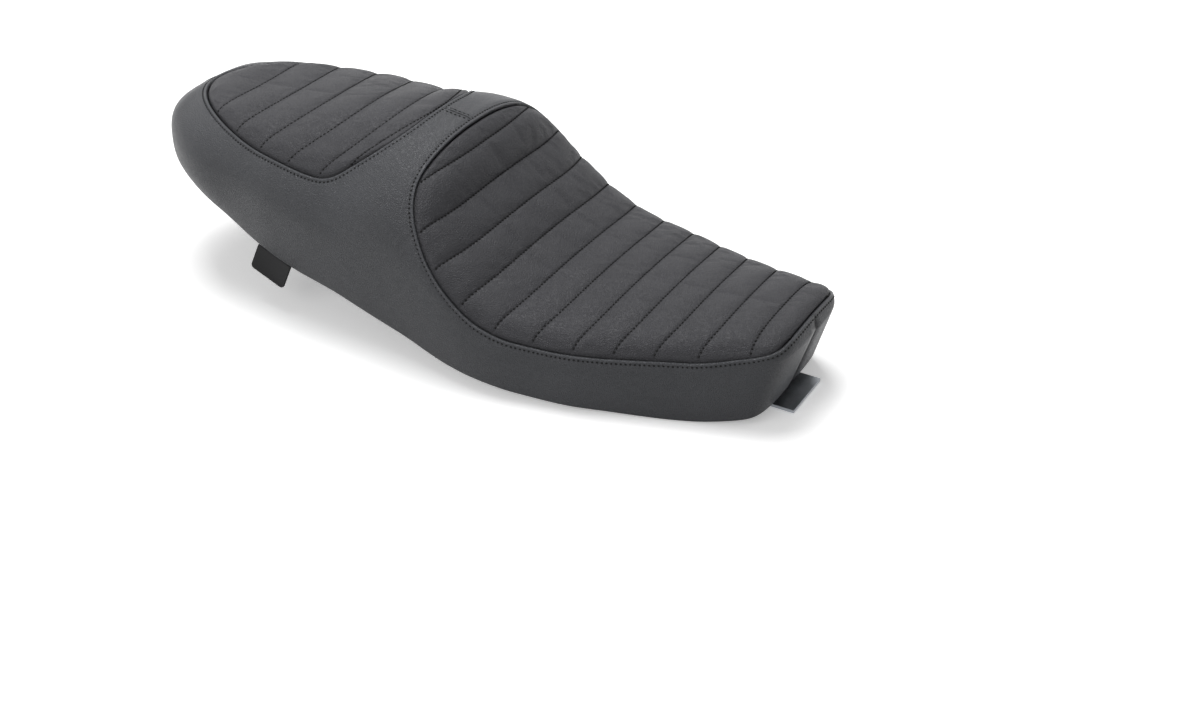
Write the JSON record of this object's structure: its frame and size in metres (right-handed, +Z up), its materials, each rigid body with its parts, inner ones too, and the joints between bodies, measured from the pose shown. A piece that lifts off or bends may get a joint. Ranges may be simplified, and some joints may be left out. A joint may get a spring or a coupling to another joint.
{
  "type": "motorcycle seat",
  "caption": "Two-up motorcycle seat with pleated rider and passenger pads sewn into smooth side covers over foam, on a moulded pan with tongue, striker loop and rubber bumpers.",
  "frame": {"origin": "under the middle of the seat, on the plane through the feet of the front bumpers and the bottom of the striker loop", "axes": "+X to the nose, +Y to the rider's left, +Z up as mounted"},
  "size_m": [0.702, 0.2842, 0.2024],
  "materials": {
    "cover_vinyl": "satin grained vinyl",
    "pleated_vinyl": "matte fine-grained vinyl",
    "label_vinyl": "satin blank label",
    "foam": "moulded foam",
    "pan_plastic": "moulded",
    "bumper_rubber": "moulded",
    "plated_steel": "zinc plated"
  },
  "bodies": {
    "seat": {"seat_pan": "pan_plastic", "foam_core": "foam", "driver_insert": "pleated_vinyl", "passenger_insert": "pleated_vinyl", "side_cover_right": "cover_vinyl", "side_cover_left": "cover_vinyl", "bumper_front_right": "bumper_rubber", "bumper_front_left": "bumper_rubber", "bumper_mid_right": "bumper_rubber", "bumper_mid_left": "bumper_rubber", "bumper_rear_right": "bumper_rubber", "bumper_rear_left": "bumper_rubber", "tongue_plate": "plated_steel", "tongue_rivets": "plated_steel", "striker_plate": "plated_steel", "striker_loop": "plated_steel", "striker_screws": "plated_steel", "hem_staples_right": "plated_steel", "hem_staples_left": "plated_steel"},
    "label_flap": {"label": "label_vinyl"}
  },
  "joints": [
    {"name": "label_hinge", "type": "hinge", "parent": "seat", "child": "label_flap", "pos_m": [-0.195, -0.10653, 0.06212], "axis": [-0.9621, 0.1312, 0.239], "range_deg": [-20, 60], "stiffness_Nm_per_rad": 0.005}
  ]
}
